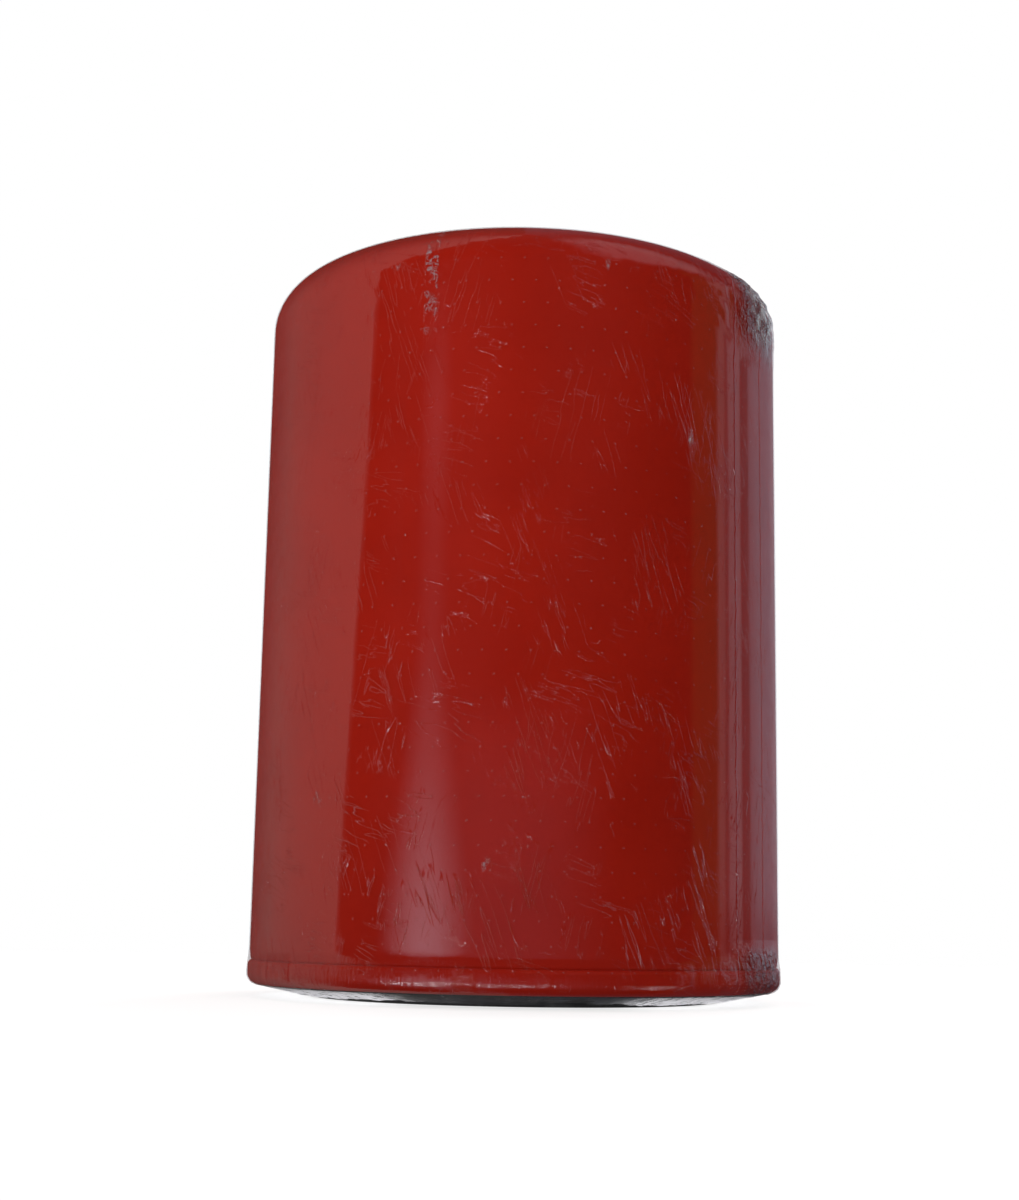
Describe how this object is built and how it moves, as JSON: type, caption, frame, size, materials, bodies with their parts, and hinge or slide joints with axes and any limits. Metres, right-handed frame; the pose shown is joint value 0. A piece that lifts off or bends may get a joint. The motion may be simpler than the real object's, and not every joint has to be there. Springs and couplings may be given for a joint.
{
  "type": "oil filter",
  "caption": "Spin-on engine oil filter: red painted can on a threaded base with gasket, pleated element and bypass valve inside, in clear shrink film.",
  "frame": {"origin": "centre of the gasket's sealing face, which is the filter's lowest face", "axes": "+Z along the thread's axis, from the gasket up to the dome; the filter is round about Z, and the paper's seam clip lies towards +X"},
  "size_m": [0.0944, 0.0944, 0.1313],
  "materials": {
    "red_paint": "gloss",
    "zinc_steel": "satin",
    "plate_steel": "satin",
    "spring_steel": "satin",
    "black_rubber": "satin",
    "valve_rubber": "satin",
    "filter_paper": "matte",
    "plastisol": "satin",
    "sealing_compound": "matte",
    "clear_film": "gloss"
  },
  "bodies": {
    "canister": {"shell": "red_paint", "seam_sealant": "sealing_compound", "retainer": "zinc_steel", "sealing_gasket": "black_rubber", "tapping_plate": "plate_steel", "antidrainback_valve": "valve_rubber", "element_support_spring": "spring_steel", "shrink_film": "clear_film"},
    "element": {"lower_end_cap": "zinc_steel", "lower_cap_adhesive": "plastisol", "center_tube": "plate_steel", "pleated_paper": "filter_paper", "paper_seam_clip": "plate_steel", "upper_cap_adhesive": "plastisol", "upper_end_cap": "zinc_steel", "bypass_seat": "plate_steel", "bypass_cage": "plate_steel", "bypass_spring": "spring_steel"},
    "bypass_valve": {"bypass_poppet": "plate_steel", "bypass_seal": "black_rubber"}
  },
  "joints": [
    {"name": "element_lift", "type": "slide", "parent": "canister", "child": "element", "axis": [0, 0, 1], "range_m": [0, 0.0015], "stiffness_N_per_m": 5000, "springref_m": -0.01, "deforming": ["element_support_spring"]},
    {"name": "bypass_opening", "type": "slide", "parent": "element", "child": "bypass_valve", "axis": [0, 0, -1], "range_m": [0, 0.004], "stiffness_N_per_m": 2000, "springref_m": -0.007, "deforming": ["bypass_spring"]}
  ]
}
